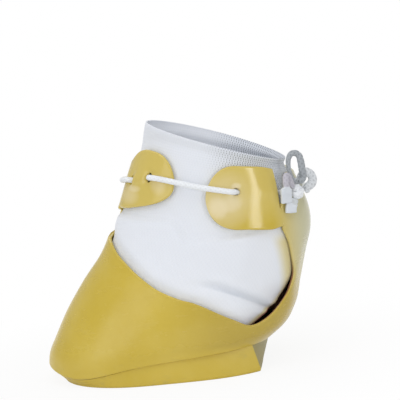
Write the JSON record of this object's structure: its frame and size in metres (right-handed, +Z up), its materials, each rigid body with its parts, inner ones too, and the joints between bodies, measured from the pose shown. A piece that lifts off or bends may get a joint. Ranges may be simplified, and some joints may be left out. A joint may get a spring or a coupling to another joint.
{
  "type": "cattle hoof shoe",
  "caption": "Moulded cattle hoof shoe with a wedge sole, a cloth sock inside, and hinged front and side flaps closed by a lace tied in a bow at the heel.",
  "frame": {"origin": "on the sole's flat underside, below the middle of the wedge", "axes": "+X to the heel, -Y to the laced side, +Z up"},
  "size_m": [0.2069, 0.125, 0.1787],
  "materials": {
    "moulding": "semi-gloss soft moulding",
    "sock_cloth": "open white weave",
    "lace": "braided"
  },
  "bodies": {
    "shoe": {"sole_block": "moulding", "toe_vamp": "moulding", "far_wall": "moulding", "heel_counter": "moulding", "sock": "sock_cloth", "lace_far_run": "lace", "lace_rear_run": "lace", "bow_knot": "lace", "bow_loop_upper": "lace", "bow_loop_rear": "lace", "lace_end_upper": "lace", "lace_end_lower": "lace"},
    "front_flap": {"front_flap": "moulding", "lace_front_span": "lace", "lace_toe_bend": "lace"},
    "near_flap": {"near_flap": "moulding"}
  },
  "joints": [
    {"name": "front_flap_hinge", "type": "hinge", "parent": "shoe", "child": "front_flap", "pos_m": [-0.0108, -0.00726, 0.13606], "axis": [-0.394, -0.0073, -0.9191], "range_deg": [0, 100], "stiffness_Nm_per_rad": 0.06, "deforming": ["lace_toe_bend"]},
    {"name": "near_flap_hinge", "type": "hinge", "parent": "shoe", "child": "near_flap", "pos_m": [0.09833, -0.03555, 0.10325], "axis": [0.0143, 0.1418, 0.9898], "range_deg": [0, 75], "stiffness_Nm_per_rad": 0.04}
  ],
  "couplings": [
    {"joint": "near_flap_hinge", "follows": "front_flap_hinge", "ratio": 0.75}
  ]
}
